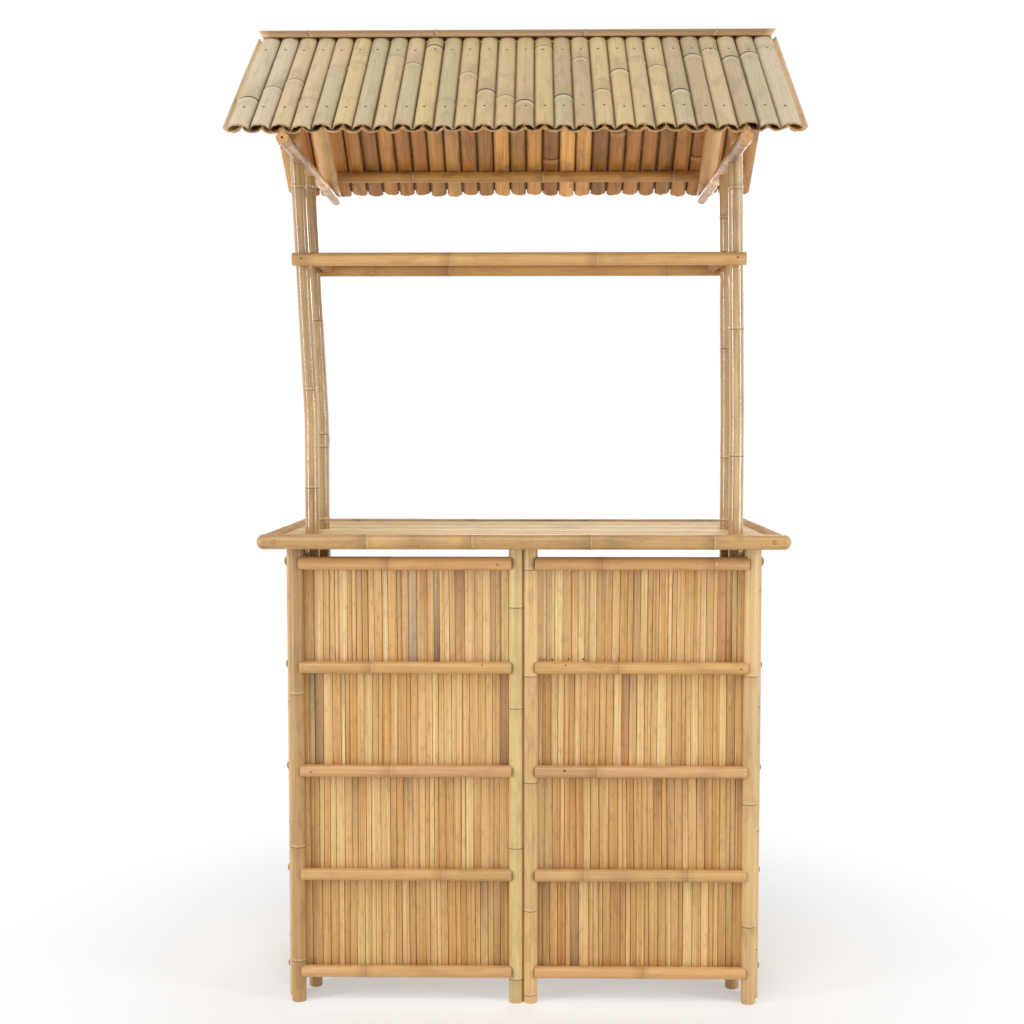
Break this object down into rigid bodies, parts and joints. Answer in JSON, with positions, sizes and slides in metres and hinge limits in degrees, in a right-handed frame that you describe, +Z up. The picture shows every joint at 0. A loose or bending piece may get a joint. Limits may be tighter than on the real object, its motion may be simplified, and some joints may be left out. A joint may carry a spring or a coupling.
{
  "type": "bamboo tiki bar hut",
  "caption": "Free-standing bamboo bar: slatted front and sides, a waist-high slatted counter, and a small gable roof of split culms on poles that rise through the counter.",
  "frame": {"origin": "on the floor, below the middle of the roof", "axes": "+X along the counter to the right as the guests see it, +Y from the guests' side to the barkeeper's side, +Z up"},
  "size_m": [1.2572, 0.8538, 2.2944],
  "materials": {
    "bamboo_honey": "whole honey-coloured bamboo culms with a thin satin varnish",
    "bamboo_pale": "whole pale bamboo culms with a thin satin varnish",
    "bamboo_slat": "split bamboo strips, satin, uneven in colour from pale straw to brown",
    "tile_outer": "outer skin of split culms, greyed tan, satin",
    "tile_inner": "split culms seen from below, orange brown, satin"
  },
  "bodies": {
    "root": {"front_left_outer_post": "bamboo_pale", "front_left_inner_post": "bamboo_pale", "front_left_rail_1": "bamboo_honey", "front_left_rail_2": "bamboo_honey", "front_left_rail_3": "bamboo_honey", "front_left_rail_4": "bamboo_honey", "front_left_rail_5": "bamboo_honey", "front_left_slats": "bamboo_slat", "front_right_inner_post": "bamboo_pale", "front_right_outer_post": "bamboo_pale", "front_right_rail_1": "bamboo_honey", "front_right_rail_2": "bamboo_honey", "front_right_rail_3": "bamboo_honey", "front_right_rail_4": "bamboo_honey", "front_right_rail_5": "bamboo_honey", "front_right_slats": "bamboo_slat", "side_left_front_post": "bamboo_pale", "side_left_rear_post": "bamboo_pale", "side_left_rail_1": "bamboo_honey", "side_left_rail_2": "bamboo_honey", "side_left_rail_3": "bamboo_honey", "side_left_rail_4": "bamboo_honey", "side_left_rail_5": "bamboo_honey", "side_left_slats": "bamboo_slat", "side_right_front_post": "bamboo_pale", "side_right_rear_post": "bamboo_pale", "side_right_rail_1": "bamboo_honey", "side_right_rail_2": "bamboo_honey", "side_right_rail_3": "bamboo_honey", "side_right_rail_4": "bamboo_honey", "side_right_rail_5": "bamboo_honey", "side_right_slats": "bamboo_slat", "counter_front_rail": "bamboo_honey", "counter_rear_rail": "bamboo_honey", "counter_left_rail": "bamboo_honey", "counter_right_rail": "bamboo_honey", "counter_deck": "bamboo_slat", "front_pole_left": "bamboo_honey", "front_pole_right": "bamboo_honey", "rear_pole_left": "bamboo_honey", "rear_pole_right": "bamboo_honey", "front_crossbar": "bamboo_honey", "rear_crossbar": "bamboo_honey", "short_tie_left": "bamboo_honey", "short_tie_right": "bamboo_honey", "tie_beam_left": "bamboo_pale", "tie_beam_right": "bamboo_pale", "front_rafter_left": "bamboo_honey", "front_rafter_right": "bamboo_honey", "rear_rafter_left": "bamboo_honey", "rear_rafter_right": "bamboo_honey", "front_eave_purlin": "bamboo_honey", "front_ridge_purlin": "bamboo_honey", "rear_eave_purlin": "bamboo_honey", "rear_ridge_purlin": "bamboo_honey", "front_lower_tiles": "tile_inner", "front_upper_tiles": "tile_outer", "rear_lower_tiles": "tile_inner", "rear_upper_tiles": "tile_outer", "ridge_cap": "tile_outer"}
  },
  "joints": []
}
